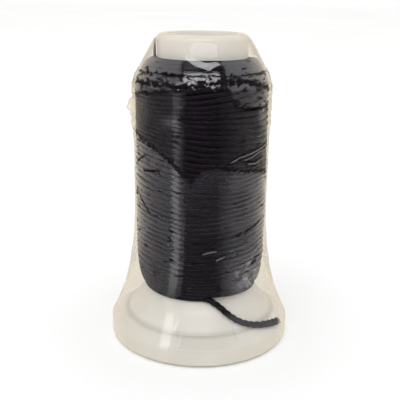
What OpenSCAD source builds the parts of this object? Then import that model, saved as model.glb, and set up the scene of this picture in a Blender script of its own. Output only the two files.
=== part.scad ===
// Waxed thread spool: a cone-base plastic core wound with black waxed thread,
// sealed in a clear shrink film. Millimetres, +Z up, origin under the middle of the base.

/* [Overall] */
// Height of the sealed spool
total_h = 63.5; // [62.5:0.5:64.5]
// Diameter of the sealed base
base_d = 38; // [37.6:0.2:38.4]

/* [Plastic core] */
// Wall thickness of the moulding
wall = 1.3; // [1:0.1:1.5]
// Diameter of the collar at the top
collar_d = 18.1; // [17.8:0.1:18.3]
// Height of the collar band
collar_h = 4.5; // [4.3:0.1:4.8]
// Radius of the collar's rounded top edge
collar_edge = 1.2; // [0.8:0.1:1.3]
// Depth of the cup in the collar's top
cup_depth = 3.5; // [3:0.1:3.6]
// Diameter of the hole for the machine's spindle
spindle_d = 7.5; // [6:0.5:8]
// Thickness of the web around the spindle hole
web_t = 1.6; // [1.2:0.1:2]
// Diameter of the barrel where it meets the bell
barrel_d = 14.4; // [13.6:0.2:14.8]
// How much narrower the barrel is at its top
barrel_draft = 1.2; // [0.6:0.1:1.6]
// Height of the upright rim around the base
rim_h = 3.8; // [3.6:0.1:3.8]
// Slope of the bell above the rim's ledge, in degrees
bell_slope = 50.4; // [49:0.2:52]

/* [Thread] */
// Thickness of the waxed thread
thread_d = 1.0; // [0.9:0.05:1.05]
// How deep the groove between two neighbouring turns is
groove = 0.22; // [0.1:0.01:0.3]

/* [Shrink film] */
// Film thickness, heavier than real film so that its mesh stays sound
film_t = 0.15; // [0.12:0.01:0.16]
// How far the film tucks in under the rim
tuck = 3.9; // [3:0.1:5]

/* [Hidden] */
$fn = 96;

// Thin air gap that keeps neighbouring pieces apart
gap = 0.05;

// Core levels and radii, from the film outside them
core_z0 = film_t + gap;
core_top = total_h - film_t - gap;
rim_r = base_d / 2 - film_t - gap;
rim_edge = 0.8;
rim_top_r = rim_r - 0.15;
rim_top_edge = 0.25;
collar_r = collar_d / 2;
collar_z = core_top - collar_h;
ledge = [15.7, 5.5];
barrel_r = barrel_d / 2;
ledge_slope = atan2(ledge[1] - rim_h, rim_top_r - ledge[0]);
barrel_top_r = barrel_r - barrel_draft / 2;

// The bell blends into the barrel with an arc that is tangent to both
blend_r = 7;
bell_normal = [sin(bell_slope), cos(bell_slope)];
blend_x = barrel_r + blend_r;
blend_z = (bell_normal * ledge + blend_r - bell_normal[0] * blend_x) / bell_normal[1];
blend_centre = [blend_x, blend_z];

// Cup and web
cup_z = core_top - cup_depth;
cup_top_r = collar_r - wall;
cup_floor_r = cup_top_r - 0.6;

// Winding: crest line of its outer turns, from the collar down to its foot
winding_top = collar_z - 0.2;
winding_crest = [
  [10.9, winding_top],
  [11.8, 57.6],
  [12.5, 56.4],
  [13.2, 55.1],
  [13.45, 53.8],
  [13.45, 42],
  [13.5, 30],
  [13.4, 17.5],
  [13.0, 14.2],
  [12.35, 12.3]
];
groove_steps = 4;

// Foot turn: the last turn, resting on the bell under the winding
foot_r = 11.4;
foot_z = 11.57;
foot_from = -66;
foot_sweep = 340;

// Loose tail: route of its middle, lying on the bell and then on the rim's ledge
tail_route = [
  [0.85, -11.4, 11.6],
  [1.6, -11.4, 11.5],
  [2.4, -11.5, 11.2],
  [3.2, -11.7, 10.7],
  [4.0, -11.9, 10.2],
  [4.8, -12.2, 9.6],
  [5.6, -12.4, 8.95],
  [6.4, -12.55, 8.4],
  [7.2, -12.6, 7.85],
  [8.0, -12.55, 7.4],
  [8.9, -12.4, 6.95],
  [9.8, -12.1, 6.6],
  [10.7, -11.7, 6.25],
  [11.6, -11.3, 6.0],
  [12.5, -10.8, 5.75],
  [13.4, -10.2, 5.6],
  [14.2, -9.6, 5.45],
  [14.9, -9.0, 5.3],
  [15.5, -8.3, 5.2]
];
tail_sides = 8;

// Frayed fibres past the tail's end: root, bend and tip of each
fibre_r = 0.11;
fibre_root = [15.6, -8.1, 5.2];
fibres = [
  [fibre_root, [16.0, -7.4, 5.05], [16.3, -6.7, 4.95]],
  [fibre_root, [15.9, -7.4, 5.35], [16.0, -6.7, 5.6]],
  [fibre_root, [15.6, -7.6, 5.45], [15.6, -7.0, 5.95]]
];
fibre_sides = 6;

// Film: its outer line follows what is inside, and bridges the hollows
film_base_r = base_d / 2;
film_body_r = 13.95;
film_edge = rim_edge + film_t + gap;
skirt_r = film_base_r - 0.05;
skirt_from = 3.9;
skirt_to = 28;
skirt_power = 2.3;
skirt_steps = 12;
mouth_r = 6.9;

// Points on an arc in the profile plane
function arc(centre, radius, from, to, steps) = [
  for (i = [0 : steps])
    let (a = from + (to - from) * i / steps)
      centre + radius * [cos(a), sin(a)]
];

function unit(v) = v / norm(v);

// Normal on the right-hand side of the segment from a to b
function right_normal(a, b) =
  let (d = unit(b - a)) [d[1], -d[0]];

// Normal at point i of a path, stretched so that an inset keeps its distance
function mitre(path, i) =
  let (
    before = right_normal(path[max(i - 1, 0)], path[max(i, 1)]),
    after = right_normal(
      path[min(i, len(path) - 2)],
      path[min(i + 1, len(path) - 1)]
    )
  ) (before + after) / (1 + before * after);

// Path moved sideways: a positive distance moves it to its left
function inset(path, distance) = [
  for (i = [0 : len(path) - 1]) path[i] - distance * mitre(path, i)
];

function reversed(path) = [for (i = [len(path) - 1 : -1 : 0]) path[i]];

// Length of a path up to its point i
function run(path, i) =
  i == 0 ? 0 : run(path, i - 1) + norm(path[i] - path[i - 1]);

// Index of the segment that holds distance s along a path
function segment_at(path, s, i = 0) =
  i >= len(path) - 2 || run(path, i + 1) >= s ? i : segment_at(path, s, i + 1);

// Point at distance s along a path, raised by h to the path's left
function point_at(path, s, h) =
  let (
    i = segment_at(path, s),
    along = unit(path[i + 1] - path[i])
  ) path[i] + along * (s - run(path, i)) - h * right_normal(path[i], path[i + 1]);

// Outer line of the bell and barrel, from the rim's side up to the collar
bell_line = concat(
  [[rim_r, core_z0 + rim_edge]],
  arc([rim_top_r - rim_top_edge, rim_h - rim_top_edge], rim_top_edge, 0, 90 - ledge_slope, 3),
  [ledge],
  arc(blend_centre, blend_r, 270 - bell_slope, 180, 8),
  [[barrel_top_r, collar_z]]
);

// Inner line of the same wall, from the web down to the open bottom
function cavity_line() =
  let (
    inner = [for (p = inset(bell_line, wall)) if (p[1] < cup_z - web_t && p[0] < ledge[0]) p],
    last = len(inner) - 1,
    rim_inner_r = rim_r - wall
  ) concat(
    [[barrel_top_r - wall, cup_z - web_t]],
    [for (i = [last : -1 : 0]) inner[i]],
    [[rim_inner_r, inner[0][1] - (rim_inner_r - inner[0][0]) * tan(ledge_slope)]]
  );

core_outline = concat(
  [[rim_r - wall, core_z0]],
  arc([rim_r - rim_edge, core_z0 + rim_edge], rim_edge, 270, 360, 5),
  [for (i = [1 : len(bell_line) - 1]) bell_line[i]],
  [[collar_r, collar_z]],
  arc([collar_r - collar_edge, core_top - collar_edge], collar_edge, 0, 90, 6),
  [[cup_top_r, core_top], [cup_floor_r, cup_z]],
  [[spindle_d / 2, cup_z], [spindle_d / 2, cup_z - web_t]],
  cavity_line()
);

// Seat of the winding on the core: the blend and the barrel, one gap away
seat_line = [
  for (p = inset(bell_line, -gap)) if (p[0] < foot_r && p[1] < winding_top) p
];

// Outer line of the film from its lip under the rim to its mouth over the collar
film_line = concat(
  [[film_base_r - tuck, 0]],
  arc([film_base_r - film_edge, film_edge], film_edge, 270, 360, 5),
  [
    for (i = [0 : skirt_steps])
      let (
        t = i / skirt_steps,
        z = skirt_from + (skirt_to - skirt_from) * t,
        flare = skirt_r - film_body_r
      ) [film_body_r + flare * pow(1 - t, skirt_power), z]
  ],
  [[film_body_r, 42], [14.2, 48.5], [14.2, 53.5], [13.5, 55.8], [12.1, 57.8], [10.9, 59.6], [10.1, 61.4]],
  arc([collar_r - collar_edge, core_top - collar_edge], collar_edge + film_t + gap, 40, 90, 4),
  [[mouth_r, total_h]]
);

// Rings of points around a route, each square to it; radii holds one radius per ring
function ring_frame(route, i) =
  let (
    along = unit(route[min(i + 1, len(route) - 1)] - route[max(i - 1, 0)]),
    side = unit(cross([0, 0, 1], along))
  ) [side, cross(along, side)];

// Tube along a route as one closed polyhedron
module tube(route, radii, sides) {
  rings = len(route);
  points = [
    for (i = [0 : rings - 1])
      let (frame = ring_frame(route, i))
        for (k = [0 : sides - 1])
          route[i] + radii[i] * (
            cos(360 * k / sides) * frame[0] + sin(360 * k / sides) * frame[1]
          )
  ];
  sides_faces = [
    for (i = [0 : rings - 2]) for (k = [0 : sides - 1])
      let (next = (k + 1) % sides) [
        i * sides + k,
        (i + 1) * sides + k,
        (i + 1) * sides + next,
        i * sides + next
      ]
  ];
  first_cap = [[for (k = [0 : sides - 1]) k]];
  last_cap = [[for (k = [sides - 1 : -1 : 0]) (rings - 1) * sides + k]];
  polyhedron(points, concat(sides_faces, first_cap, last_cap));
}

// One moulding: rim, bell, barrel, collar and the web with the spindle hole
module spool_core() {
  color("ivory") rotate_extrude() polygon(core_outline);
}

// The inner turns, hidden under the outer ones, as one closed body
module winding_pack() {
  color("#1a171c") rotate_extrude() polygon(concat(
    inset(winding_crest, -thread_d - gap / 2),
    seat_line,
    [[barrel_top_r + gap, winding_top]]
  ));
}

// The outer layer of turns, side by side, with a groove between neighbours
module outer_turns() {
  length = run(winding_crest, len(winding_crest) - 1);
  turns = round(length / thread_d);
  steps = turns * groove_steps;
  crests = [
    for (i = [0 : steps])
      let (dip = groove * (1 - sin(180 * (i % groove_steps) / groove_steps)))
        point_at(winding_crest, length * i / steps, -dip)
  ];
  color("#241f26") rotate_extrude() polygon(
    concat(crests, reversed(inset(winding_crest, -thread_d)))
  );
}

// The last turn around the winding's foot, which the tail leaves
module foot_turn() {
  color("#241f26")
    rotate([0, 0, foot_from])
      rotate_extrude(angle = foot_sweep)
        translate([foot_r, foot_z])
          circle(d = thread_d);
}

// The thread's loose end, held down by the film
module loose_tail() {
  color("#1a171c")
    tube(tail_route, [for (p = tail_route) thread_d / 2], tail_sides);
}

// Fibres of the cut end, spread and tapered
module tail_fray() {
  color("#241f26")
    for (fibre = fibres)
      tube(fibre, [fibre_r * 1.6, fibre_r, fibre_r * 0.5], fibre_sides);
}

// Clear film shrunk over everything, open at the mouth and under the base
module shrink_film() {
  color("white", 0.3) rotate_extrude() polygon(
    concat(film_line, reversed(inset(film_line, film_t)))
  );
}

spool_core();
winding_pack();
outer_turns();
foot_turn();
loose_tail();
tail_fray();
shrink_film();
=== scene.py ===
"""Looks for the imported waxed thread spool: turns of cord, a frayed loose end and a clear film.

Sizes are in millimetres unless a name or a comment says otherwise, and MM turns them into the
scene's metres. Heights are above the base. Angles around the spool are in degrees in the tables,
measured from the front (-Y) and positive towards +X.
"""

import math
import random

import bpy
import numpy as np
from mathutils import Matrix, Vector, noise


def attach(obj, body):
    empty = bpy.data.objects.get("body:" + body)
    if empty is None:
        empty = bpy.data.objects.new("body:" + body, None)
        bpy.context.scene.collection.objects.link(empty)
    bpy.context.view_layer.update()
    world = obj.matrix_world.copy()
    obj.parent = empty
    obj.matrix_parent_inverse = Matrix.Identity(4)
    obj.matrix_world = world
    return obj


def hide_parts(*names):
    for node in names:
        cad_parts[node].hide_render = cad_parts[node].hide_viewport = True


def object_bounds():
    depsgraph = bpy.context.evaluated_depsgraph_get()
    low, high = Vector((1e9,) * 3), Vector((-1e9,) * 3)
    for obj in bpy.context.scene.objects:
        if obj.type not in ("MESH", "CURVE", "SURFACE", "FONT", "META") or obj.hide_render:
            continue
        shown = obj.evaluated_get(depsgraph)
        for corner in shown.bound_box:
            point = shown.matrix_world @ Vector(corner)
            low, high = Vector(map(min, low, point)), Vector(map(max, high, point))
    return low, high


MM = 0.001
TAU = 2 * math.pi

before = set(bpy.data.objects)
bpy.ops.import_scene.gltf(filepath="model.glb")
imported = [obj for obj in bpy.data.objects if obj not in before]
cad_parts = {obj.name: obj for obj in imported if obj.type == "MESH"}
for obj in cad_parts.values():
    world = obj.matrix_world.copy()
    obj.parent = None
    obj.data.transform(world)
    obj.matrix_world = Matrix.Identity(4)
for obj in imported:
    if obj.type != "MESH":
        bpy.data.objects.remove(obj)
cad_low, cad_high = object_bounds()
TOTAL_H = cad_high.z / MM
BASE_R = cad_high.x / MM

# Random fields, one seed for each
(
    WOBBLE_SEED, FINE_SEED, LIFT_SEED, WIDTH_SEED, FIN_SEED, WAVE_SEED, MOUTH_SEED,
) = range(1, 8)
CLOUD_SEED, SHOULDER_SEED, BEAD_SEED = 10, 12, 13


def smooth(low, high, x):
    """Smooth step from 0 at low to 1 at high."""
    t = np.clip((x - low) / (high - low), 0.0, 1.0)
    return t * t * (3 - 2 * t)


def bell(x, centre, half_width):
    """Bell curve: 1 at the centre and 0.37 at half_width from it."""
    return np.exp(-(((x - centre) / half_width) ** 2))


def band(x, rise_from, rise_to, fall_from, fall_to):
    """1 between rise_to and fall_from, and smoothly down to 0 outside them."""
    return smooth(rise_from, rise_to, x) * (1 - smooth(fall_from, fall_to, x))


def look_up(x, table):
    """Value at x in a table of (x, value) rows, in a straight line between them."""
    return np.interp(x, *zip(*table))


def field(seed, *coords):
    """Smooth random field between about -1 and 1 at arrays of one to three coordinates."""
    coords = (*coords, 0.0, 0.0)[:3]
    shape = np.broadcast(*coords).shape
    flat = np.stack([np.broadcast_to(c, shape).ravel() for c in coords], 1)
    shift = Vector((seed * 17.3, seed * 5.1, 0))
    values = [noise.noise(Vector(p) + shift) for p in flat]
    return np.array(values).reshape(shape)


def around(angle, radius):
    """Coordinates on a circle, so that a random field closes on itself around the spool."""
    return radius * np.cos(angle), radius * np.sin(angle)


def on_spool(radius, angle, height):
    """Points at that radius, angle in radians and height."""
    return np.stack([radius * np.sin(angle), -radius * np.cos(angle), height], -1)


def path_run(points):
    """Distance along a path to each of its points."""
    steps = np.linalg.norm(np.diff(points, axis=0), axis=1)
    return np.concatenate([[0], np.cumsum(steps)])


def units(vectors):
    """Rows of vectors, each scaled to length 1."""
    return vectors / np.linalg.norm(vectors, axis=1)[:, None]


# --- Meshes ---
def add_object(name, data):
    """A new object in the scene."""
    thing = bpy.data.objects.new(name, data)
    bpy.context.scene.collection.objects.link(thing)
    return thing


def mesh_piece(name, points, faces, attributes):
    """A smooth mesh riding on the root body, with three numbers a point in each attribute."""
    mesh = bpy.data.meshes.new(name)
    mesh.from_pydata((np.reshape(points, (-1, 3)) * MM).tolist(), [], faces)
    mesh.polygons.foreach_set("use_smooth", [True] * len(mesh.polygons))
    for label, values in attributes.items():
        layer = mesh.attributes.new(label, "FLOAT_VECTOR", "POINT")
        layer.data.foreach_set("vector", np.asarray(values, np.float32).ravel())
    mesh.update()
    piece = add_object(name, mesh)
    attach(piece, "root")
    return piece


def grid_faces(rows, columns):
    """Quads of a grid of points stored row by row, whose last column meets its first."""
    corners = ((0, 0), (0, 1), (1, 1), (1, 0))
    return [
        tuple((i + down) * columns + (j + right) % columns for down, right in corners)
        for i in range(rows - 1)
        for j in range(columns)
    ]


def tube_faces(rings, sides, first=0):
    """Faces of a closed tube whose points start at index first."""
    last = first + (rings - 1) * sides
    faces = [tuple(first + index for index in quad) for quad in grid_faces(rings, sides)]
    faces.append(tuple(first + side for side in range(sides - 1, -1, -1)))
    faces.append(tuple(last + side for side in range(sides)))
    return faces


def route_frame(centres, normals):
    """Unit tangents, and the normals and sideways directions made square to them."""
    tangents = units(np.gradient(centres, axis=0))
    normals = units(normals - (normals * tangents).sum(1)[:, None] * tangents)
    return tangents, normals, np.cross(tangents, normals)


def strand_piece(name, centres, normals, half_w, half_h, sides):
    """A cord along centres whose flat side faces along normals.

    strand: length along the cord, cosine and sine of the place around it.
    """
    rings = len(centres)
    _, normals, across = route_frame(centres, normals)
    turn = np.arange(sides) / sides * TAU
    half_w = np.broadcast_to(half_w, rings)[:, None, None]
    half_h = np.broadcast_to(half_h, rings)[:, None, None]
    points = (
        centres[:, None, :]
        + half_w * np.cos(turn)[None, :, None] * across[:, None, :]
        + half_h * np.sin(turn)[None, :, None] * normals[:, None, :]
    )
    around_strand = (np.tile(np.cos(turn), rings), np.tile(np.sin(turn), rings))
    strand = np.column_stack([np.repeat(path_run(centres), sides), *around_strand])
    piece = mesh_piece(name, points, tube_faces(rings, sides), {"strand": strand})
    return piece


# --- Winding ---
PITCH = 1.0
THREAD_HALF_W = 0.53
THREAD_HALF_H = 0.37
RINGS_PER_TURN = 120
THREAD_SIDES = 9
# Crest line of the outer turns (radius, height), from the collar to the foot
CREST = [
    (9.6, 58.5), (10.9, 58.5), (11.8, 57.5), (12.4, 56.4), (12.95, 55.3), (13.35, 54.2),
    (13.45, 53.0), (13.45, 42.0), (13.5, 30.0), (13.4, 17.5), (13.0, 14.2), (12.35, 12.3),
]
# How far the turns dip in front (VEE) and to the right (TILT): (distance from the collar, mm)
VEE = [(0, 0.5), (8, 0.5), (14, 0.3), (24, 0.6), (32, 0.9), (48, 0.9)]
TILT = [(0, -1.8), (7, -1.8), (17, 1.2), (21, 1.2), (29, -0.2), (48, 0)]
# The dips are turned from the front by half of this, in radians
VEE_PHASE = 0.15
# Random strays, lifts and widths of the turns: how large, and how fast they change around the
# spool and down the winding
WOBBLE, WOBBLE_AROUND, WOBBLE_DOWN = 0.55, 1.6, 0.17
LIFT, LIFT_AROUND, LIFT_DOWN = 0.12, 2.2, 0.8
WIDTH_SHARE, WIDTH_AROUND = 0.1, 0.9
# A finer stray, this many times faster around than the wobble
FINE_WOBBLE, FINE_TIMES, FINE_DOWN = 0.16, 2.1, 0.9
# The turns start to stray at this distance from the collar, and settle again above the foot
STRAY_FROM, STRAY_FULL, FINE_FULL, SETTLE = 0.5, 9, 2, 7

# Last turn, on the bell, which comes out of the winding above it
FOOT_R = 11.4
FOOT_Z = 11.57
FOOT_START = math.radians(24)
FOOT_END = math.radians(364)
FOOT_LEAVES = math.radians(70)
FOOT_RISE_R, FOOT_RISE_Z = 0.6, 0.85
FOOT_UP = 0.6
FOOT_HALF_W, FOOT_HALF_H = 0.52, 0.5
FOOT_RINGS = 240
ROUND_SIDES = 10

# Thread's first end beside the collar, from the winding's top towards the film's mouth
START_ANGLES = (-72, -80)
START_RADII = (9.75, 9.5)
START_HEIGHTS = (58.6, 62.3)
START_R, START_TAPER = 0.28, 0.14
START_RINGS, START_SIDES = 24, 8

crest = np.array(CREST)
crest_run = path_run(crest)
CREST_LENGTH = crest_run[-1]


def crest_at(run):
    """Radius and height on the crest line at that distance from the collar."""
    run = np.clip(run, 0, CREST_LENGTH)
    return np.interp(run, crest_run, crest[:, 0]), np.interp(run, crest_run, crest[:, 1])


def crest_normal(run):
    """Outward normal of the crest line (radial and vertical part)."""
    reach = 0.8
    r0, z0 = crest_at(run - reach)
    r1, z1 = crest_at(run + reach)
    size = np.hypot(r1 - r0, z1 - z0)
    return (z0 - z1) / size, (r1 - r0) / size


def sway(angle, run):
    """How far a turn strays along the crest line from a level ring."""
    ends = smooth(STRAY_FROM, STRAY_FULL, run) * smooth(0, SETTLE, CREST_LENGTH - run)
    vee = look_up(run, VEE) * np.cos(2 * angle + VEE_PHASE)
    tilt = look_up(run, TILT) * np.sin(angle)
    x, y = around(angle, WOBBLE_AROUND)
    wobble = WOBBLE * field(WOBBLE_SEED, x, y, run * WOBBLE_DOWN)
    fine = FINE_WOBBLE * field(FINE_SEED, x * FINE_TIMES, y * FINE_TIMES, run * FINE_DOWN)
    return ends * (vee + tilt + wobble) + fine * smooth(0, FINE_FULL, run)


def build_winding():
    """The outer layer of turns as one continuous cord, wound down from the collar."""
    steps = int(CREST_LENGTH / PITCH * RINGS_PER_TURN)
    level = np.linspace(0, CREST_LENGTH, steps + 1)
    angle = FOOT_START + (level - CREST_LENGTH) / PITCH * TAU
    run = level + sway(angle, level)
    radius, height = crest_at(run)
    out_r, out_z = crest_normal(run)
    lift = LIFT * field(LIFT_SEED, *around(angle, LIFT_AROUND), level * LIFT_DOWN)
    lift = lift - THREAD_HALF_H
    centres = on_spool(radius + lift * out_r, angle, height + lift * out_z)
    normals = on_spool(out_r, angle, out_z)
    width = THREAD_HALF_W * (1 + WIDTH_SHARE * field(WIDTH_SEED, angle * WIDTH_AROUND))
    piece = strand_piece("thread_winding", centres, normals, width, THREAD_HALF_H, THREAD_SIDES)
    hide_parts("outer_turns")
    return piece


def build_foot_turn():
    """The last turn, resting on the bell just under the winding."""
    angle = np.linspace(FOOT_START, FOOT_END, FOOT_RINGS)
    leaving = 1 - smooth(FOOT_START, FOOT_START + FOOT_LEAVES, angle)
    centres = on_spool(FOOT_R + FOOT_RISE_R * leaving, angle, FOOT_Z + FOOT_RISE_Z * leaving)
    normals = on_spool(1.0, angle, np.full_like(angle, FOOT_UP))
    piece = strand_piece("thread_foot_turn", centres, normals, FOOT_HALF_W, FOOT_HALF_H, ROUND_SIDES)
    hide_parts("foot_turn")
    return piece


def build_start():
    """The thread's first end, tucked up along the collar's left side under the film."""
    share = np.linspace(0, 1, START_RINGS)
    angle, radius, height = [
        first + (last - first) * share
        for first, last in (START_ANGLES, START_RADII, START_HEIGHTS)
    ]
    angle = np.radians(angle)
    centres = on_spool(radius, angle, height)
    normals = on_spool(1.0, angle, 0 * angle)
    half = START_R - START_TAPER * share**2
    return strand_piece("thread_first_end", centres, normals, half, half, START_SIDES)


# --- Loose end ---
TAIL_ROUTE = [
    (0.85, -11.4, 11.6), (1.6, -11.4, 11.5), (2.4, -11.5, 11.2), (3.2, -11.7, 10.7),
    (4.0, -11.9, 10.2), (4.8, -12.2, 9.6), (5.6, -12.4, 8.95), (6.4, -12.55, 8.4),
    (7.2, -12.6, 7.85), (8.0, -12.55, 7.4), (8.9, -12.4, 6.95), (9.8, -12.1, 6.6),
    (10.7, -11.7, 6.25), (11.6, -11.3, 6.0), (12.5, -10.8, 5.75), (13.4, -10.2, 5.6),
    (14.2, -9.6, 5.45), (14.9, -9.0, 5.3), (15.6, -8.4, 5.2), (16.3, -7.8, 5.1),
]
TAIL_SAMPLES = 8
TAIL_UP = 0.9
TAIL_HALF_H = 0.52
PLIES = 3
PLY_HALF_W, PLY_HALF_H = 0.37, 0.33
# Cord length of one full twist, and how far the plies lie from the middle, more at the cut
TWIST_LENGTH = 4.2
PLY_SPREAD, PLY_OPENING, OPENING_FROM = 0.27, 0.09, 0.55
PLY_ACROSS, PLY_ALONG_NORMAL = 1.15, 0.8

FIBRE_SEED = 11
CUT_FIBRES = 26
FIBRE_R, FIBRE_TAPER = 0.1, 0.75
FIBRE_RINGS, FIBRE_SIDES = 7, 5
CUT_CURL, STRAY_CURL = 0.15, 0.1
# Where the cut's fibres start, back from the end, to the sides and up, and how they fan out
ROOT_BACK, ROOT_SIDE, ROOT_UP = 0.5, 0.45, 0.3
FAN_SIDE, FAN_DOWN, FAN_UP = 0.4, 0.1, 0.4
LEAN = 0.5
CUT_LENGTHS = (0.6, 1.3)
# The way that stray fibres point, along the loose end and up
STRAY_ALONG, STRAY_UP = 0.7, 0.85
# A direction that no fibre takes, and the cord length that its pattern runs from ring to ring
OFF_AXIS = (0.3, 0.2, 0.9)
FIBRE_STEP = 0.2
# Stray fibres: route points back from the cut, height above the route, length
STRAYS = [(17, 0.4, 1.3), (15, 0.4, 1.2), (5, 0.3, 0.9)]


def smooth_route(points, samples):
    """Catmull-Rom curve through points, evenly sampled."""
    pts = np.array(points, float)
    padded = np.vstack([2 * pts[0] - pts[1], pts, 2 * pts[-1] - pts[-2]])
    out = []
    for i in range(len(pts) - 1):
        a, b, c, d = padded[i : i + 4]
        for t in np.arange(samples) / samples:
            square = (2 * a - 5 * b + 4 * c - d) * t**2
            cube = (3 * b - a - 3 * c + d) * t**3
            out.append(0.5 * (2 * b + (c - a) * t + square + cube))
    out.append(pts[-1])
    return np.array(out)


def tail_frame():
    """The loose end's route, and its tangents, normals and sideways directions."""
    route = smooth_route(TAIL_ROUTE, TAIL_SAMPLES)
    outward = units(route * (1, 1, 0))
    return route, *route_frame(route, outward + np.array([0, 0, TAIL_UP]))


def build_tail():
    """The loose end: three twisted plies that open a little towards the cut."""
    route, _, normals, across = tail_frame()
    share = np.linspace(0, 1, len(route))
    length = path_run(route)[-1]
    spread = PLY_SPREAD + PLY_OPENING * smooth(OPENING_FROM, 1, share)
    plies = []
    for ply in range(PLIES):
        phase = TAU * (share * length / TWIST_LENGTH + ply / PLIES)
        sideways = (spread * PLY_ACROSS * np.cos(phase))[:, None] * across
        upwards = (spread * PLY_ALONG_NORMAL * np.sin(phase))[:, None] * normals
        name = f"thread_tail_ply_{ply + 1}"
        centres = route + sideways + upwards
        piece = strand_piece(name, centres, normals, PLY_HALF_W, PLY_HALF_H, ROUND_SIDES)
        plies.append(piece)
    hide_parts("loose_tail")
    return plies


def fibre_curve(rng, root, heading, up, length, curl):
    """A thin fibre that leaves root along heading and curls towards up."""
    side = np.cross(heading, up)
    lean = rng.uniform(-LEAN, LEAN)
    points = []
    for t in np.linspace(0, 1, FIBRE_RINGS):
        bend = curl * t * t
        points.append(root + length * (t * heading + bend * up + lean * t * t * side))
    return np.array(points)


def cut_and_stray_fibres():
    """Middle lines of the cut end's fibres and of a few stray ones along the loose end."""
    rng = random.Random(FIBRE_SEED)
    route, tangents, normals, across = tail_frame()
    end, heading, side, up = route[-1], tangents[-1], across[-1], normals[-1]
    fibres = []
    for _ in range(CUT_FIBRES):
        root = end - ROOT_BACK * heading + rng.uniform(-ROOT_SIDE, ROOT_SIDE) * side
        root = root + rng.uniform(-ROOT_UP, ROOT_UP) * up
        aim = heading + rng.uniform(-FAN_SIDE, FAN_SIDE) * side
        aim = aim + rng.uniform(-FAN_DOWN, FAN_UP) * up
        aim /= np.linalg.norm(aim)
        length = rng.uniform(*CUT_LENGTHS)
        fibres.append(fibre_curve(rng, root, aim, up, length, CUT_CURL))
    stray_aim = STRAY_ALONG * heading + np.array([0, 0, STRAY_UP])
    for back, lift, length in STRAYS:
        root = route[-back] + lift * up
        fibres.append(fibre_curve(rng, root, stray_aim, up, length, STRAY_CURL))
    return fibres


def build_fray():
    """Fibres of the cut end and the stray ones, as one piece of thin tapered tubes."""
    points, faces, strand = [], [], []
    for curve in cut_and_stray_fibres():
        faces += tube_faces(FIBRE_RINGS, FIBRE_SIDES, len(points))
        directions = units(np.gradient(curve, axis=0))
        for ring, (centre, along) in enumerate(zip(curve, directions)):
            u = np.cross(along, OFF_AXIS)
            u /= np.linalg.norm(u)
            v = np.cross(along, u)
            radius = FIBRE_R * (1 - FIBRE_TAPER * ring / (FIBRE_RINGS - 1))
            for turn in np.arange(FIBRE_SIDES) / FIBRE_SIDES * TAU:
                cos, sin = math.cos(turn), math.sin(turn)
                points.append(centre + radius * (cos * u + sin * v))
                strand.append((FIBRE_STEP * ring, cos, sin))
    piece = mesh_piece("thread_tail_fray", points, faces, {"strand": strand})
    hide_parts("tail_fray")
    return piece


# --- Film's shape ---
FILM_COLUMNS = 300
FILM_ROWS = 330
LINE_SAMPLES = 400
# Rows lie closer between these heights, and elsewhere at this share of their number
FINE_FROM, FINE_TO = 12, 60
COARSE_SHARE = 0.45

# Outer line of the film: how far in from the rim its lip's points are, and the rim's edge
LIP_POINTS = [3.9, 2.4, 1.0]
LIP_Z = 0.03
RIM_EDGE_R = 1.0
RIM_EDGE_Z = 1.02
RIM_ARC = [292, 315, 338, 360]
SKIRT_GAP = 0.06
SKIRT_FROM, SKIRT_TO, SKIRT_POWER = 3.9, 28.0, 2.3
SKIRT_STEPS = 16
BODY_R = 13.72
BODY_LINE = [(BODY_R, 33), (BODY_R, 42), (13.75, 48), (13.8, 51), (13.85, 53.7)]
CROWN_LINE = [(13.15, 55.4), (11.75, 58.3), (10.2, 61.3), (9.5, 62.4)]
COLLAR_EDGE_R, COLLAR_EDGE_MIDDLE = 1.4, 7.85
COLLAR_ARC = [38, 55, 72, 90]
TOP_GAP = 0.05
MOUTH_OUTER_R, MOUTH_R = 7.4, 6.9

# How far the lay-flat creases stand out at each side: (height, mm)
LEFT_FIN = [
    (12, 0), (18, 0.25), (28, 0.1), (38, 0.1), (44, 0.35), (46, 0.6), (50, 0.6), (52, 0.35),
    (54, 0.25), (56, 0.4), (58, 0.15), (62, 0),
]
RIGHT_FIN = [
    (12, 0), (18, 0.2), (28, 0.1), (42, 0.15), (46, 0.3), (54, 0.3), (56, 0.4), (58, 0.15),
    (62, 0),
]
FIN_WIDTH = math.radians(5)
# Bites out of them, and beads on them higher up: size, and how fast they come and go
BITES, BITES_AROUND, BITES_UP = 0.5, 3, 0.55
BEADS, BEADS_UP = 0.45, 1.3
BEADS_FROM, BEADS_FULL = 40, 46
# The left crease has a bump at this height
BUMP, BUMP_Z, BUMP_HALF_H = 0.5, 48.5, 2.2
# Slow waves between these heights, and how much the turns show through between theirs
WAVES, WAVES_AROUND, WAVES_UP = 0.06, 1.6, 0.09
WAVES_BAND = (18, 28, 60, 62)
RIPPLE = 0.045
TURNS_BAND = (15, 19, 53, 54.5)
MOUTH_RAGGED, MOUTH_AROUND, MOUTH_WIDTH = 0.5, 3, 1.6
# The film over the loose end: reach sideways and in height, the gap it keeps, how far above
# the cord's middle it is fullest, and the first point of the route under it
COVER_REACH, COVER_HALF_H, COVER_GAP, COVER_RISE = 1.6, 1.2, 0.15, 0.3
FIRST_COVERED = 10
# Samples of the loose end's route for the distance to it, the first of them on the base, how
# much a difference in height counts, and the largest distance that is told
NEAR_SAMPLES, NEAR_FROM = 3, 18
NEAR_HEIGHT_SHARE, NEAR_LIMIT = 0.5, 9.0

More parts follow.
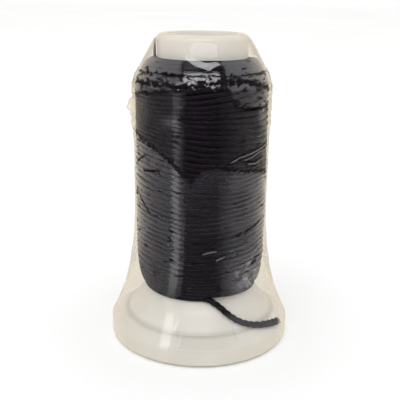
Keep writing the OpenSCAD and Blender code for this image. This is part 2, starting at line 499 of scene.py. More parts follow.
# Creases in the film: points (angle, height), rise, and how they are marked: GLINT is a
# bright line of painted highlight with dark sides, FAINT a dimmer one, DARK a dark line and THIN a
# fine dark line
GLINT, FAINT, DARK, THIN = 1.0, 0.88, 0.6, 0.3
RISE_WIDTH, MARK_WIDTH = 0.28, 0.42
CREASES = [
    ([(75, 42.7), (49, 41.7), (32, 41.0), (24, 40.2)], 0.14, GLINT),
    ([(56, 41.5), (45, 40.7), (37, 40.4)], 0.16, GLINT),
    ([(60, 40.0), (50, 39.3), (41, 39.5)], 0.16, GLINT),
    ([(-80, 36.2), (-66, 38.8), (-53, 40.5)], 0.08, THIN),
    ([(-56, 37.3), (-36, 38.1)], 0.04, THIN),
    ([(-70, 33.0), (-58, 31.0), (-47, 29.0)], 0.04, THIN),
    ([(66, 27.4), (54, 26.5), (42, 25.9), (27, 25.2)], 0.06, THIN),
    ([(-17, 61.6), (-10, 60.1), (-2, 59.3), (6, 59.0), (14, 59.3)], 0.1, THIN),
    ([(-15, 58.8), (-8, 57.9), (0, 57.4), (8, 57.4), (16, 58.1)], 0.06, THIN),
    ([(2, 22.2), (7, 22.5), (13, 22.7)], 0.2, GLINT),
    ([(13, 20.9), (16, 21.1), (20, 21.5)], 0.18, GLINT),
    ([(-12.5, 9.1), (-15, 7.1)], 0.05, GLINT),
    ([(-9, 7.6), (-11.5, 4.1)], 0.05, GLINT),
    ([(22, 9.0), (24, 5.5)], 0.06, GLINT),
    ([(14.5, 15.8), (14, 12.4)], 0.05, THIN),
    ([(-160, 47), (-140, 45.5), (-125, 45)], 0.13, FAINT),
    ([(110, 30), (128, 32), (140, 31.5)], 0.12, GLINT),
    ([(165, 52), (185, 50), (200, 50.5)], 0.12, DARK),
    ([(205, 26), (220, 24.5), (232, 25)], 0.12, FAINT),
]

# --- Film's looks, as places on it ---
# Lower and upper edge of the patch where the film clings to the thread (angle, height)
CLING_LOWER = [
    (-180, 40), (-150, 37), (-128, 42), (-100, 45), (-67, 44.3), (-37, 42.1), (-20, 39.2),
    (-8, 36.2), (-1, 38.9), (9, 39.5), (38, 38.2), (71, 36.8), (100, 39), (128, 35),
    (150, 41), (180, 40),
]
CLING_UPPER = [
    (-180, 51.0), (-150, 53.0), (-110, 52.0), (-80, 51.8), (-42, 53.0), (-13, 53.9), (3, 54.3),
    (22, 53.7), (27, 50.6), (46, 49.9), (70, 50.1), (85, 51.5), (110, 52.0), (140, 50.0),
    (165, 52.5), (180, 51.0),
]
# Places inside the patch where air is trapped: angle and height, half width in degrees and mm
HAZY_SPOTS = [(-25, 47.8, 7, 1.1), (58, 48.7, 6, 1.7)]
# Height of the line where the film is pressed on the winding's shoulder
SHOULDER_Z = 56.35
# A second pressed line below it (angle, height)
SECOND_LINE = [
    (-180, 53.5), (-90, 54.6), (-75, 54.5), (-17, 54.4), (17, 55.5), (45, 54.8), (75, 53.2),
    (100, 53.0), (180, 53.5),
]
# How far the shoulder's line strays, and how fast around
SHOULDER_RAGGED, SHOULDER_AROUND = 0.2, 9
# The dark gap in front, from this far above the shoulder's line up to a curved edge
GAP_ABOVE_SHOULDER = 0.5
FRONT_GAP_TOP = [(-16, 58.9), (-8, 57.9), (0, 57.4), (8, 57.4), (18, 58.3)]
GAP_STRENGTH = 0.9
GAP_SOFT_BELOW, GAP_SOFT_ABOVE = 0.2, 0.15
# Where the gap and the front end sideways, in degrees
GAP_SIDES, FRONT_SIDES = (17, 22), (17, 24)
# Cloudiness of the haze, and how the film clings, less where cloudy and in the spots
CLOUD_AROUND, CLOUD_UP = 4, 0.22
HAZE, CLOUDY_HAZE = 0.7, 0.3
CLING, CLOUDY_LOSS, SPOT_LOSS = 0.96, 0.3, 0.8
# Milky haze: everywhere on the thread, under the patch, in the spots and at the lower right
MILK, PATCH_MILK, SPOT_MILK, SIDE_MILK = 0.009, 0.037, 0.06, 0.18
PATCH_MILK_DEPTH, PATCH_MILK_REACH, PATCH_MILK_ABOVE = 4.5, 30, 1
MILKY_SIDE = [(42, 16.8, 15, 3.6)]
# Heights where the film leaves the thread for the collar and for the base
COLLAR_FROM, COLLAR_FULL = 59.0, 59.6
BASE_FULL, BASE_TO = 10.8, 12.0
# Gloss over the plastic, full only on the ledge and away from the loose end
COLLAR_SHINE, DULL_SHINE = 0.25, 0.15
LEDGE_BAND = (3.3, 3.9, 9.6, 10.8)
TAIL_DULL, TAIL_CLEAR = 0.6, 1.0
# Gloss missing at the winding's foot, left of the front
FOOT_DULL, FOOT_DULL_ANGLE, FOOT_DULL_HALF_ANGLE = 0.5, -18, 15
FOOT_DULL_BELOW = (12, 18)


def film_line():
    """Points of the film's outer line, from its lip under the rim to its mouth."""
    line = [(BASE_R - inset, LIP_Z) for inset in LIP_POINTS]
    for a in np.radians(RIM_ARC):
        out, up = RIM_EDGE_R * math.cos(a), RIM_EDGE_R * math.sin(a)
        line.append((BASE_R - RIM_EDGE_R + out, RIM_EDGE_Z + up))
    for t in np.linspace(0, 1, SKIRT_STEPS):
        flare = (BASE_R - SKIRT_GAP - BODY_R) * (1 - t) ** SKIRT_POWER
        line.append((BODY_R + flare, SKIRT_FROM + (SKIRT_TO - SKIRT_FROM) * t))
    line += BODY_LINE + CROWN_LINE
    top = TOTAL_H - TOP_GAP
    for a in np.radians(COLLAR_ARC):
        radius = COLLAR_EDGE_MIDDLE + COLLAR_EDGE_R * math.cos(a)
        line.append((radius, top - COLLAR_EDGE_R + COLLAR_EDGE_R * math.sin(a)))
    line += [(MOUTH_OUTER_R, top), (MOUTH_R, top - TOP_GAP)]
    return np.array(line)


def film_rows():
    """Distance along the film's line, radius, height and outward normal of each row."""
    line = film_line()
    run = path_run(line)
    sparse = np.linspace(0, run[-1], LINE_SAMPLES)
    height = np.interp(sparse, run, line[:, 1])
    share = np.where((height > FINE_FROM) & (height < FINE_TO), 1.0, COARSE_SHARE)
    rows = np.interp(np.linspace(0, 1, FILM_ROWS), np.cumsum(share) / share.sum(), sparse)
    rows[0] = 0
    radius = np.interp(rows, run, line[:, 0])
    height = np.interp(rows, run, line[:, 1])
    tangent_r, tangent_z = np.gradient(radius), np.gradient(height)
    size = np.hypot(tangent_r, tangent_z)
    columns = (rows, radius, height, tangent_z / size, -tangent_r / size)
    return [values[:, None] for values in columns]


def line_distance(angle, height, line):
    """Distance on the body's surface from each point to a short line of (angle, height)."""
    best = np.full(np.broadcast(angle, height).shape, math.inf)
    scale = math.radians(1) * BODY_R
    for (a0, z0), (a1, z1) in zip(line, line[1:]):
        dx = (np.degrees(angle) - a0 + 180) % 360 - 180
        ex, ez = (a1 - a0) * scale, z1 - z0
        px, pz = dx * scale, height - z0
        t = np.clip((px * ex + pz * ez) / (ex * ex + ez * ez), 0, 1)
        best = np.minimum(best, np.hypot(px - t * ex, pz - t * ez))
    return best


def turn_under(angle, height):
    """The turn of thread under each point: whole numbers are crests, halves are grooves."""
    below = np.interp(-height, -crest[:, 1], crest_run)
    level = below - sway(angle, below) - CREST_LENGTH
    return level / PITCH - (angle - FOOT_START) / TAU


def side_fins(angle, degrees, height):
    """How far the lay-flat creases stand out, with small bites, beads and the left bump."""
    x, y = around(angle, BITES_AROUND)
    from_side = np.radians(np.minimum(abs(degrees - 90), abs(degrees + 90)))
    bites = BITES * field(FIN_SEED, x, height * BITES_UP, y)
    beads = BEADS * field(BEAD_SEED, np.cos(angle), height * BEADS_UP)
    ragged = 1 + bites + beads * smooth(BEADS_FROM, BEADS_FULL, height)
    fin = np.where(degrees > 0, look_up(height, RIGHT_FIN), look_up(height, LEFT_FIN))
    fin = fin + BUMP * bell(height, BUMP_Z, BUMP_HALF_H) * (degrees < 0)
    return fin * ragged * np.exp(-from_side / FIN_WIDTH)


def crease_marks(angle, height):
    """Rise of the creases, and the mark of the strongest one at each point."""
    rise = np.zeros_like(height)
    fold = np.zeros_like(height)
    for points, crease_rise, mark in CREASES:
        away = line_distance(angle, height, points)
        rise = rise + crease_rise * bell(away, 0, RISE_WIDTH)
        fold = np.maximum(fold, mark * bell(away, 0, MARK_WIDTH))
    return rise, fold


def level_distance(radius, angle, x, y):
    """Level distance from each point of the film to a point."""
    return np.hypot(radius * np.sin(angle) - x, -radius * np.cos(angle) - y)


def cover_tail(radius, angle, z):
    """Radius of the film, pushed out where the loose end lies under it."""
    for x, y, tail_z in TAIL_ROUTE[FIRST_COVERED:]:
        near = bell(level_distance(radius, angle, x, y), 0, COVER_REACH)
        near = near * bell(z, tail_z + COVER_RISE, COVER_HALF_H)
        need = np.hypot(x, y) + TAIL_HALF_H + COVER_GAP - radius
        radius = radius + near * np.clip(need, 0, 1)
    return radius


def tail_distance(radius, angle, z):
    """Distance from each point of the film to the loose end on the base."""
    away = np.full_like(z, NEAR_LIMIT)
    for x, y, tail_z in smooth_route(TAIL_ROUTE, NEAR_SAMPLES)[NEAR_FROM:]:
        level = level_distance(radius, angle, x, y)
        away = np.minimum(away, np.hypot(level, NEAR_HEIGHT_SHARE * (z - tail_z)))
    return away


def places(degrees, height, table):
    """1 in the middle of each place in a table (angle, height, half angle, half height)."""
    cover = np.zeros_like(height)
    for angle, z, half_angle, half_h in table:
        cover = np.maximum(cover, bell(degrees, angle, half_angle) * bell(height, z, half_h))
    return cover


def milkiness(degrees, height, patch_lower, spots):
    """How milky the haze is: plain, under the patch, in the spots and at the lower right."""
    below = np.clip(patch_lower - height, 0, PATCH_MILK_REACH)
    under_patch = np.exp(-below / PATCH_MILK_DEPTH) * (height < patch_lower + PATCH_MILK_ABOVE)
    milky_side = SIDE_MILK * places(degrees, height, MILKY_SIDE)
    return MILK + PATCH_MILK * under_patch + SPOT_MILK * spots + milky_side


def plain_gloss(degrees, height, off_tail, on_collar, on_base):
    """Gloss on the collar and the base, and the gloss missing at the winding's foot."""
    clear_of_tail = smooth(TAIL_DULL, TAIL_CLEAR, off_tail)
    base_shine = DULL_SHINE + (1 - DULL_SHINE) * band(height, *LEDGE_BAND) * clear_of_tail
    dull_foot = (1 - on_collar) * (1 - on_base) * (1 - smooth(*FOOT_DULL_BELOW, height))
    dull_foot = dull_foot * bell(degrees, FOOT_DULL_ANGLE, FOOT_DULL_HALF_ANGLE)
    return COLLAR_SHINE * on_collar + base_shine * on_base - FOOT_DULL * dull_foot


def dark_gap(degrees, height, above_shoulder):
    """The dark gap in front, between the shoulder's line and a curved edge."""
    above_line = above_shoulder - GAP_ABOVE_SHOULDER
    gap_from = smooth(-GAP_SOFT_BELOW, GAP_SOFT_BELOW, above_line)
    above_edge = height - look_up(degrees, FRONT_GAP_TOP)
    gap_to = 1 - smooth(-GAP_SOFT_ABOVE, GAP_SOFT_ABOVE, above_edge)
    return GAP_STRENGTH * gap_from * gap_to * (1 - smooth(*GAP_SIDES, abs(degrees)))


def film_attributes(angle, degrees, height, off_tail, fold):
    """What the film's material needs at each point, in groups of three numbers.

    film_haze: haze where air lies behind the film, how well the patch clings, on the thread.
    film_look: gloss over plain plastic, milkiness, crease mark.
    press_lines: heights above the pressed lines (shoulder, second line, patch's upper edge).
    press_marks: height above the patch's lower edge, dark gap in front, front.
    thread_phase: cosine and sine of the place in its turn of thread, over the turns.
    """
    lower = look_up(degrees, CLING_LOWER)
    upper = look_up(degrees, CLING_UPPER)
    on_collar = smooth(COLLAR_FROM, COLLAR_FULL, height)
    on_base = 1 - smooth(BASE_FULL, BASE_TO, height)
    on_thread = (1 - on_collar) * (1 - on_base)

    cloud = 0.5 + 0.5 * field(CLOUD_SEED, *around(angle, CLOUD_AROUND), height * CLOUD_UP)
    spots = places(degrees, height, HAZY_SPOTS)
    cling = (CLING - CLOUDY_LOSS * cloud) * (1 - SPOT_LOSS * spots)
    milk = milkiness(degrees, height, lower, spots) * on_thread
    shine = plain_gloss(degrees, height, off_tail, on_collar, on_base)

    ragged = SHOULDER_RAGGED * field(SHOULDER_SEED, *around(angle, SHOULDER_AROUND))
    above_shoulder = height - SHOULDER_Z - ragged
    above_second = height - look_up(degrees, SECOND_LINE)
    front_gap = dark_gap(degrees, height, above_shoulder)
    front = 1 - smooth(*FRONT_SIDES, abs(degrees))

    phase = TAU * turn_under(angle, height)
    groups = {
        "film_haze": (HAZE + CLOUDY_HAZE * cloud, cling, on_thread),
        "film_look": (shine, milk, fold),
        "press_lines": (above_shoulder, above_second, height - upper),
        "press_marks": (height - lower, front_gap, front),
        "thread_phase": (np.cos(phase), np.sin(phase), band(height, *TURNS_BAND)),
    }
    return {name: np.stack(group, 2) for name, group in groups.items()}


def build_film():
    """The shrink film: a thin skin that clings to the thread and bridges the hollows."""
    rows, line_r, line_z, out_r, out_z = film_rows()
    angle = (np.arange(FILM_COLUMNS) / FILM_COLUMNS * TAU)[None, :]
    height = line_z + 0 * angle
    degrees = (np.degrees(angle) + 180) % 360 - 180 + 0 * height

    waves = WAVES * field(WAVE_SEED, *around(angle, WAVES_AROUND), height * WAVES_UP)
    waves = waves * band(height, *WAVES_BAND)
    on_crest = 0.5 + 0.5 * np.cos(TAU * turn_under(angle, height))
    ripple = RIPPLE * (on_crest - 0.5) * band(height, *TURNS_BAND)
    crease_rise, fold = crease_marks(angle, height)
    rise = waves + ripple + crease_rise
    radius = line_r + out_r * (side_fins(angle, degrees, height) + rise)
    z = line_z + out_z * rise

    mouth = smooth(rows[-1] - MOUTH_WIDTH, rows[-1], rows)
    ragged = MOUTH_RAGGED * field(MOUTH_SEED, *around(angle, MOUTH_AROUND))
    radius = radius + mouth * ragged
    radius = cover_tail(radius, angle, z)
    off_tail = tail_distance(radius, angle, z)

    piece = mesh_piece(
        "film_sleeve",
        on_spool(radius, angle, z),
        grid_faces(FILM_ROWS, FILM_COLUMNS),
        film_attributes(angle, degrees, height, off_tail, fold),
    )
    piece.visible_shadow = False
    piece.visible_diffuse = False
    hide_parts("shrink_film")
    return piece


# --- Materials ---
class Nodes:
    """Short calls for making and linking shader nodes."""

    def __init__(self, tree):
        self.tree = tree
        tree.nodes.clear()

    def new(self, kind, inputs=None, **settings):
        """A node with its settings, and its inputs linked or set."""
        node = self.tree.nodes.new(kind)
        for key, value in settings.items():
            setattr(node, key, value)
        for key, value in (inputs or {}).items():
            self.put(value, node.inputs[key])
        return node

    def put(self, value, socket):
        """Link a node or an output to an input, or set the input to a plain value."""
        if isinstance(value, bpy.types.NodeSocket):
            self.tree.links.new(value, socket)
        elif isinstance(value, bpy.types.Node):
            self.tree.links.new(value.outputs[0], socket)
        else:
            socket.default_value = value

    def math(self, operation, a, b=0.0, c=0.0):
        return self.new("ShaderNodeMath", {0: a, 1: b, 2: c}, operation=operation)

    def times(self, a, b):
        return self.math("MULTIPLY", a, b)

    def times_plus(self, a, b, c):
        """a times b, plus c."""
        return self.math("MULTIPLY_ADD", a, b, c)

    def plus(self, a, b):
        return self.math("ADD", a, b)

    def minus(self, a, b):
        return self.math("SUBTRACT", a, b)

    def power(self, a, b):
        return self.math("POWER", a, b)

    def either(self, a, b):
        """The larger of two values."""
        return self.math("MAXIMUM", a, b)

    def size(self, a):
        """A value without its sign."""
        return self.math("ABSOLUTE", a)

    def length(self, a, b):
        """Length of the flat vector (a, b)."""
        return self.math("SQRT", self.plus(self.power(a, 2.0), self.power(b, 2.0)))

    def scaled(self, vector, scale):
        return self.new("ShaderNodeVectorMath", {0: vector, "Scale": scale}, operation="SCALE")

    def step(self, value, low, high, to_min=0.0, to_max=1.0):
        """Smooth step from to_min at low to to_max at high."""
        return self.new(
            "ShaderNodeMapRange",
            {"Value": value, "From Min": low, "From Max": high, "To Min": to_min, "To Max": to_max},
            interpolation_type="SMOOTHSTEP",
        ).outputs[0]

    def noise(self, place, scale, seed, detail=3.0, rough=0.6):
        """Random pattern between 0 and 1 with its own seed."""
        return self.new(
            "ShaderNodeTexNoise",
            {"Vector": place, "W": seed, "Scale": scale, "Detail": detail, "Roughness": rough},
            noise_dimensions="4D",
        ).outputs[0]

    def cloud(self, place, scale, detail):
        """Plain random pattern between 0 and 1."""
        return self.new("ShaderNodeTexNoise", {"Vector": place, "Scale": scale, "Detail": detail})

    def bump(self, height, strength, distance, **more):
        inputs = {"Height": height, "Strength": strength, "Distance": distance, **more}
        return self.new("ShaderNodeBump", inputs)

    def place(self):
        """Position on the object, in metres."""
        return self.new("ShaderNodeTexCoord").outputs["Object"]

    def axes(self, vector):
        """The three numbers of a vector."""
        return self.new("ShaderNodeSeparateXYZ", {0: vector}).outputs

    def parts_of(self, attribute):
        """The three numbers of a mesh attribute."""
        node = self.new("ShaderNodeAttribute", attribute_name=attribute)
        return self.axes(node.outputs["Vector"])

    def ramp(self, fac, stops):
        """Colours blended between (position, colour) stops."""
        node = self.new("ShaderNodeValToRGB", {"Fac": fac})
        elements = node.color_ramp.elements
        while len(elements) < len(stops):
            elements.new(0.5)
        for element, (position, colour) in zip(elements, stops):
            element.position = position
            element.color = (*colour, 1)
        return node

    def mix_colour(self, fac, a, b):
        inputs = {"Factor": fac, "A": a, "B": b}
        return self.new("ShaderNodeMix", inputs, data_type="RGBA").outputs[2]


def new_material(name):
    """A new material and the short calls for its nodes."""
    material = bpy.data.materials.new(name)
    material.use_nodes = True
    return material, Nodes(material.node_tree)


# Cord length from one ply to the next, the number of plies, and the wax's colours
PLY_PITCH = 1.6
PLY_COUNT = 3.0
THREAD_COLOURS = [
    (0.3, (0.0022, 0.0014, 0.0030)), (0.62, (0.0044, 0.0030, 0.0055)), (0.8, (0.012, 0.010, 0.013)),
]


def waxed_thread_material():
    """Black waxed cord: twisted plies, matt fibre with a little wax sheen."""
    material, n = new_material("waxed_thread")
    along, cos, sin = n.parts_of("strand")
    turn = n.math("ARCTAN2", sin, cos)
    phase = n.times_plus(turn, PLY_COUNT, n.times(along, TAU / PLY_PITCH))
    plies = n.math("SINE", phase)
    place = n.place()
    fibre = n.cloud(place, scale=5200.0, detail=4.0)
    wax = n.cloud(place, scale=900.0, detail=3.0)
    height = n.times_plus(plies, 0.5, n.times(fibre, 0.8))
    colour = n.ramp(wax, THREAD_COLOURS)
    rough = n.new("ShaderNodeMapRange", {"Value": wax, "To Min": 0.42, "To Max": 0.7})
    surface = n.new(
        "ShaderNodeBsdfPrincipled",
        {
            "Base Color": colour,
            "Roughness": rough,
            "Specular IOR Level": 0.1,
            "Specular Tint": (0.85, 0.72, 1.0, 1),
            "Sheen Weight": 0.01,
            "Sheen Roughness": 0.5,
            "Normal": n.bump(height, strength=0.55, distance=0.12 * MM),
        },
    )
    n.new("ShaderNodeOutputMaterial", {"Surface": surface})
    return material


# Painted shade: the plastic's colour is darkened in the corner where the bell meets the rim's ledge
CORNER_R = 15.75
CORNER_FROM, CORNER_TO = 0.1, 0.8
CORNER_SHADE = 0.8


def moulded_plastic_material():
    """Cream satin moulded plastic, faintly cloudy, with fine moulding texture and painted shade in
    the corner at the rim's ledge.
    """
    material, n = new_material("core_plastic")
    place = n.place()
    cloud = n.cloud(place, scale=110.0, detail=3.0)
    grain = n.cloud(place, scale=2600.0, detail=2.0)
    colour = n.ramp(cloud, [(0.35, (0.68, 0.66, 0.615)), (0.65, (0.725, 0.71, 0.665))])
    # Painted shade: the colour is darkened in a ring around the corner's radius
    x, y, _ = n.axes(place)
    off_corner = n.size(n.minus(n.length(x, y), CORNER_R * MM))
    shade = n.step(off_corner, CORNER_FROM * MM, CORNER_TO * MM, to_min=CORNER_SHADE)
    rough = n.new("ShaderNodeMapRange", {"Value": grain, "To Min": 0.3, "To Max": 0.45})
    surface = n.new(
        "ShaderNodeBsdfPrincipled",
        {
            "Base Color": n.scaled(colour, shade),
            "Roughness": rough,
            "Specular IOR Level": 0.4,
            "Subsurface Weight": 0.15,
            "Subsurface Radius": (1.0, 0.8, 0.5),
            "Subsurface Scale": 2 * MM,
            "Normal": n.bump(grain, strength=0.08, distance=0.1 * MM),
        },
    )
    n.new("ShaderNodeOutputMaterial", {"Surface": surface})
    return material


# Ragged lines where the film is pressed down (shoulder, second line, patch's upper and lower
# edge): half width, how far they stray, pattern scale and the share of it that breaks the line
LINE_MARKS = [
    (0.30, 2.6, 1700.0, 0.38), (0.65, 3.6, 1000.0, 0.32),
    (0.42, 2.4, 1400.0, 0.30), (0.60, 4.2, 1800.0, 0.34),
]
# Patterns on the film are drawn out sideways
SIDEWAYS = (1, 1, 2.8)


def ragged_line(n, place, level, seed, mark):
    """A level that strays by noise, and the broken dark line where it is zero."""
    half_width, stray, scale, broken = mark
    ragged = n.minus(n.noise(place, scale, seed, detail=4.0), 0.5)
    level = n.times_plus(ragged, stray, level)
    line = n.step(n.size(level), 0.5 * half_width, half_width, to_min=1.0, to_max=0.0)
    gate = n.step(n.noise(place, scale=260.0, seed=seed + 10), broken, broken + 0.04)
    return level, n.times(line, gate)


def film_contact(n, place, fold):
    """The patch where the film clings, and the dark ragged lines where it is pressed down."""
    shoulder, second, upper = n.parts_of("press_lines")
    lower, front_gap, front = n.parts_of("press_marks")
    drawn_out = n.new("ShaderNodeVectorMath", {0: place, 1: SIDEWAYS}, operation="MULTIPLY")

    levels, lines = [], []
    for seed, (level, mark) in enumerate(zip((shoulder, second, upper, lower), LINE_MARKS), 1):
        ragged, line = ragged_line(n, place, level, seed, mark)
        levels.append(ragged)
        lines.append(line)
    _, _, ragged_upper, ragged_lower = levels
    patch = n.times(n.step(ragged_lower, -0.1, 0.1), n.step(ragged_upper, 0.1, -0.1))

    # Branching veins on the crown in front, and blotches on the rest of it
    crown = n.times(n.step(upper, 0.0, 0.3), n.step(shoulder, 0.3, 0.0))
    vein = n.size(n.minus(n.noise(drawn_out, scale=200.0, seed=5.0, detail=4.0), 0.5))
    vein = n.times(n.step(vein, 0.008, 0.022, to_min=1.0, to_max=0.0), crown)
    vein = n.times(vein, front)
    blotch = n.step(n.noise(drawn_out, scale=420.0, seed=6.0, detail=4.0), 0.53, 0.58)
    blotch = n.times(n.times(blotch, crown), n.times_plus(front, -0.75, 0.85))

    # Short dashes everywhere, and the dark sides of the creases, broken in places
    dash = n.step(n.noise(drawn_out, scale=420.0, seed=7.0, detail=2.0), 0.62, 0.65)
    fold_side = n.times(n.step(fold, 0.1, 0.3), n.step(fold, 0.9, 0.75))
    whole = n.step(n.noise(place, scale=700.0, seed=11.0, detail=2.0), 0.4, 0.45)
    fold_side = n.times(fold_side, whole)

    pressed = front_gap
    for mark in (*lines, vein, blotch, dash, fold_side):
        pressed = n.either(pressed, mark)
    return patch, pressed


def film_lined(n, place):
    """1 over the turns' crests, less over the grooves, and more so in some places."""
    cosine, sine, over_turns = n.parts_of("thread_phase")
    cosine = n.math("DIVIDE", cosine, n.length(cosine, sine))
    groove = n.times(n.step(cosine, 0.1, -1.0), over_turns)
    depth = n.step(n.noise(place, scale=300.0, seed=8.0), 0.35, 0.65, to_min=0.1, to_max=0.7)
    return n.minus(1.0, n.times(groove, depth)), over_turns


# Tint by how edge-on the film is seen, and painted light and shade on it edge-on: a little lighter
# low down, darker towards the crown
FILM_TINT = [
    (0.0, (0.93, 0.91, 0.88)), (0.4, (0.92, 0.88, 0.81)), (0.93, (0.93, 0.88, 0.79)),
    (1.0, (0.74, 0.72, 0.68)),
]
LOW_Z, LOW_PAINTED_LIGHT = 20, 0.04
CROWN_Z, CROWN_PAINTED_SHADE = 58, -0.2


def film_tint(n, place, facing):
    """Colour of what is seen through the film, with painted shade that darkens it edge-on towards
    the wrinkled crown.
    """
    tint = n.ramp(facing, FILM_TINT)
    _, _, level = n.axes(place)
    # Painted shade: the tint is scaled by height, darker edge-on near the crown
    painted_shade = n.step(level, LOW_Z * MM, CROWN_Z * MM, to_min=LOW_PAINTED_LIGHT, to_max=CROWN_PAINTED_SHADE)
    return n.scaled(tint, n.times_plus(painted_shade, n.step(facing, 0.5, 0.75), 1.0))


def film_bump(n, place):
    """Slow waves and a fine ripple in the film's gloss."""
    wave = n.noise(place, scale=110.0, seed=21.0, detail=1.0)
    waves = n.bump(wave, strength=0.5, distance=0.5 * MM)
    ripple = n.noise(place, scale=420.0, seed=22.0, detail=2.0)
    return n.bump(ripple, strength=0.12, distance=0.2 * MM, Normal=waves)


# Milkiness seen slanted and edge-on: power of how edge-on, strength, least share
SLANT_POWER, SLANT_MILK = 3.0, 0.25
EDGE_POWER, EDGE_MILK, LEAST_EDGE_MILK = 4.0, 0.6, 0.4
# Strength of the painted highlights: the specks and the crease glints
PAINTED_GLINT_LIGHT = 0.14
# Gloss over the thread: with full haze behind the film, and the least
HAZY_GLOSS, LEAST_GLOSS = 0.8, 0.2
HAZE_COLOUR, EDGE_COLOUR = (0.68, 0.66, 0.74, 1), (0.86, 0.79, 0.68, 1)
EDGE_COLOUR_GAIN = 1.4


def clear_film_material():
    """Clear shrink film: see-through, glossy, hazier where air lies behind it."""
    material, n = new_material("clear_film")
    open_haze, cling, on_thread = n.parts_of("film_haze")
    plain_shine, milk_gain, fold = n.parts_of("film_look")
    place = n.place()
    facing = n.new("ShaderNodeLayerWeight", {"Blend": 0.5}).outputs["Facing"]
    patch, pressed = film_contact(n, place, fold)
    lined, over_turns = film_lined(n, place)
    free = n.times(n.minus(1.0, n.times(pressed, on_thread)), lined)
    haze = n.times(open_haze, n.minus(1.0, n.times(patch, cling)))

    # Milkiness: wisps of haze, and more of it seen edge-on
    wisps = n.step(
        n.noise(place, scale=700.0, seed=9.0, detail=5.0), 0.4, 0.65, to_min=-0.7, to_max=1.0
    )
    wispy = n.step(milk_gain, 0.04, 0.12, to_min=0.15, to_max=1.1)
    milk = n.times(n.times(haze, milk_gain), n.times_plus(wisps, wispy, 1.0))
    slanted = n.times(n.power(facing, SLANT_POWER), n.times(haze, SLANT_MILK))
    milk = n.times_plus(slanted, on_thread, milk)
    edge_milk = n.times(n.times_plus(haze, EDGE_MILK, LEAST_EDGE_MILK), on_thread)
    edge_milk = n.plus(edge_milk, n.minus(1.0, on_thread))
    milk = n.times_plus(n.power(facing, EDGE_POWER), edge_milk, milk)

    # Painted highlights: bright specks over the turns and glints on the creases, added to the milky
    # light
    glint_speck = n.step(n.noise(place, scale=1900.0, seed=20.0, detail=0.0), 0.77, 0.82)
    bright = n.either(n.times(glint_speck, over_turns), n.step(fold, 0.8, 0.95))
    milk = n.times_plus(milk, free, n.times(bright, PAINTED_GLINT_LIGHT))

    milk_colour = n.mix_colour(n.times(facing, EDGE_COLOUR_GAIN), HAZE_COLOUR, EDGE_COLOUR)
    milky = n.new("ShaderNodeBsdfDiffuse", {"Color": milk_colour})
    clear = n.new("ShaderNodeBsdfTransparent", {"Color": film_tint(n, place, facing)})
    body = n.new("ShaderNodeMixShader", {0: milk, 1: clear, 2: milky})

    # Gloss on the outside, where the film isn't pressed down
    bump = film_bump(n, place)
    gloss = n.new("ShaderNodeBsdfGlossy", {"Roughness": 0.045, "Normal": bump})
    fresnel = n.new("ShaderNodeFresnel", {"IOR": 1.78, "Normal": bump})
    outside = n.minus(1.0, n.new("ShaderNodeNewGeometry").outputs["Backfacing"])
    shine = n.plus(n.times(n.times_plus(haze, HAZY_GLOSS, LEAST_GLOSS), on_thread), plain_shine)
    gloss_share = n.times(n.times(n.times(fresnel, shine), outside), free)
    surface = n.new("ShaderNodeMixShader", {0: gloss_share, 1: body, 2: gloss})
    n.new("ShaderNodeOutputMaterial", {"Surface": surface})
    return material


def floor_material():
    """Pale matt tabletop."""
    material, n = new_material("pale_floor")
    cloud = n.cloud(n.place(), scale=3.0, detail=2.0)
    colour = n.ramp(cloud, [(0.3, (0.95, 0.95, 0.948)), (0.7, (0.98, 0.98, 0.978))])
    surface = n.new("ShaderNodeBsdfPrincipled", {"Base Color": colour, "Roughness": 0.9})
    n.new("ShaderNodeOutputMaterial", {"Surface": surface})
    return material


def give(piece, material):
    """Make material the only one on piece."""
    piece.data.materials.clear()
    piece.data.materials.append(material)


# --- Studio ---
# Camera: place in metres, tilt down and roll in degrees, and lens and sensor in mm
CAMERA_PLACE = (-0.00014, -0.140, 0.071)
CAMERA_DOWN, CAMERA_ROLL = 16.67, 0.75
LENS, SENSOR = 62.4, 36

# Height that the lights aim at, as a share of the spool's
AIM_SHARE = 0.8
FLOOR_HALF = 4.0

# What glossy surfaces see around them: (angle, colour) low down and high up
WARM, COOL, DARK_GAP = (0.80, 0.73, 0.62), (0.68, 0.68, 0.70), (0.02, 0.02, 0.02)
STRIP = (2.2, 2.22, 2.2)
STRIP_LEVEL = STRIP[0]
LOW_ROOM = [
    (-180, WARM), (-140, WARM), (-110, COOL), (-51, COOL), (-47, STRIP), (-38, STRIP),
    (-35, COOL), (-30, COOL), (-28, DARK_GAP), (26, DARK_GAP), (58, COOL), (110, COOL),
    (140, WARM), (180, WARM),
]
HIGH_ROOM = [
    (-180, WARM), (-140, WARM), (-110, COOL), (-50, COOL), (-45, DARK_GAP), (45, DARK_GAP),
    (50, COOL), (110, COOL), (140, WARM), (180, WARM),
]
# The room is brighter this many times high up, and plain overhead and underfoot
HIGH_GAIN = 2.2
PLAIN_ROOM = (0.9, 0.88, 0.84, 1)
WHITE = (1, 1, 1, 1)


def build_floor():
    """A flat pale floor under the spool."""
    mesh = bpy.data.meshes.new("floor")
    corners = [(x * FLOOR_HALF, y * FLOOR_HALF, 0) for x, y in ((-1, -1), (1, -1), (1, 1), (-1, 1))]
    mesh.from_pydata(corners, [], [(0, 1, 2, 3)])
    floor = add_object("floor", mesh)
    floor.visible_glossy = False
    give(floor, floor_material())


def room_ramp(n, position, stops):
    """Ramp of the room's colours around the spool, as shares of the strip's level."""
    stops = [((angle + 180) / 360, [c / STRIP_LEVEL for c in colour]) for angle, colour in stops]
    return n.ramp(position, stops)


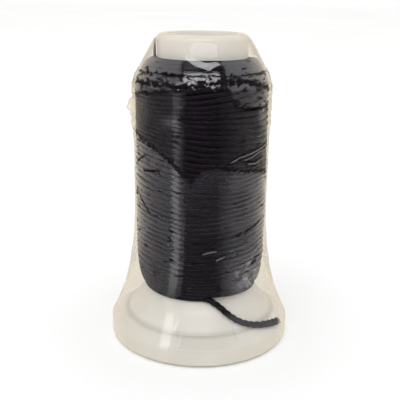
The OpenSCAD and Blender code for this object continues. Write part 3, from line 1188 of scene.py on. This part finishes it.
def build_world():
    """White room light; shiny surfaces see a studio with a bright strip and a dark gap."""
    world = bpy.data.worlds.new("studio")
    world.use_nodes = True
    bpy.context.scene.world = world
    n = Nodes(world.node_tree)
    x, y, z = n.axes(n.new("ShaderNodeTexCoord").outputs["Generated"])
    azimuth = n.math("ARCTAN2", x, n.times(y, -1.0))
    position = n.times_plus(azimuth, 1 / TAU, 0.5)
    low = room_ramp(n, position, LOW_ROOM)
    high = room_ramp(n, position, HIGH_ROOM)
    around_it = n.mix_colour(n.step(z, 0.5, 0.6), low, high)
    gain = n.step(z, 0.05, 0.5, to_min=STRIP_LEVEL, to_max=HIGH_GAIN * STRIP_LEVEL)
    overhead = n.new("ShaderNodeMapRange", {"Value": z, "From Min": 0.75, "From Max": 0.95})
    underfoot = n.new("ShaderNodeMapRange", {"Value": z, "From Min": -0.45, "From Max": -0.6})
    seen = n.mix_colour(n.either(overhead, underfoot), n.scaled(around_it, gain), PLAIN_ROOM)
    light_path = n.new("ShaderNodeLightPath")
    shown = n.mix_colour(light_path.outputs["Is Glossy Ray"], WHITE, seen)
    light = n.new("ShaderNodeBackground", {"Color": shown})
    n.new("ShaderNodeOutputWorld", {"Surface": light})


def area_light(name, azimuth, elevation, distance, width, height, radiance):
    """A rectangular light seen from the spool's shoulder, in degrees and metres."""
    light = bpy.data.lights.new(name, "AREA")
    light.shape = "RECTANGLE"
    light.size = width
    light.size_y = height
    light.energy = radiance * math.pi * width * height
    target = Vector((0, 0, AIM_SHARE * TOTAL_H * MM))
    a, e = math.radians(azimuth), math.radians(elevation)
    aim = Vector((math.sin(a) * math.cos(e), -math.cos(a) * math.cos(e), math.sin(e)))
    lamp = add_object(name, light)
    lamp.location = target + aim * distance
    lamp.rotation_euler = aim.to_track_quat("Z", "Y").to_euler()
    return lamp


def build_camera():
    """The camera in front of the spool, tilted down."""
    data = bpy.data.cameras.new("camera")
    data.lens = LENS
    data.sensor_width = SENSOR
    camera = add_object("camera", data)
    place = Matrix.Translation(CAMERA_PLACE)
    tilt = Matrix.Rotation(math.radians(90 - CAMERA_DOWN), 4, "X")
    roll = Matrix.Rotation(math.radians(CAMERA_ROLL), 4, "Z")
    camera.matrix_world = place @ tilt @ roll
    bpy.context.scene.camera = camera


# --- Build ---
build_camera()
build_floor()
build_world()
window = area_light(
    "window_light", azimuth=-2, elevation=50, distance=0.6, width=0.60, height=0.34, radiance=6.0
)
window.visible_diffuse = False
area_light("key_light", azimuth=-20, elevation=55, distance=1.2, width=1.0, height=1.0, radiance=0.8)

thread = waxed_thread_material()
plastic = moulded_plastic_material()
film = clear_film_material()

give(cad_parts["spool_core"], plastic)
give(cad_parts["winding_pack"], thread)
for thread_piece in (build_winding(), build_foot_turn(), build_start(), *build_tail(), build_fray()):
    give(thread_piece, thread)
give(build_film(), film)

scene = bpy.context.scene
scene.view_settings.view_transform = "Standard"
scene.cycles.transparent_max_bounces = 16
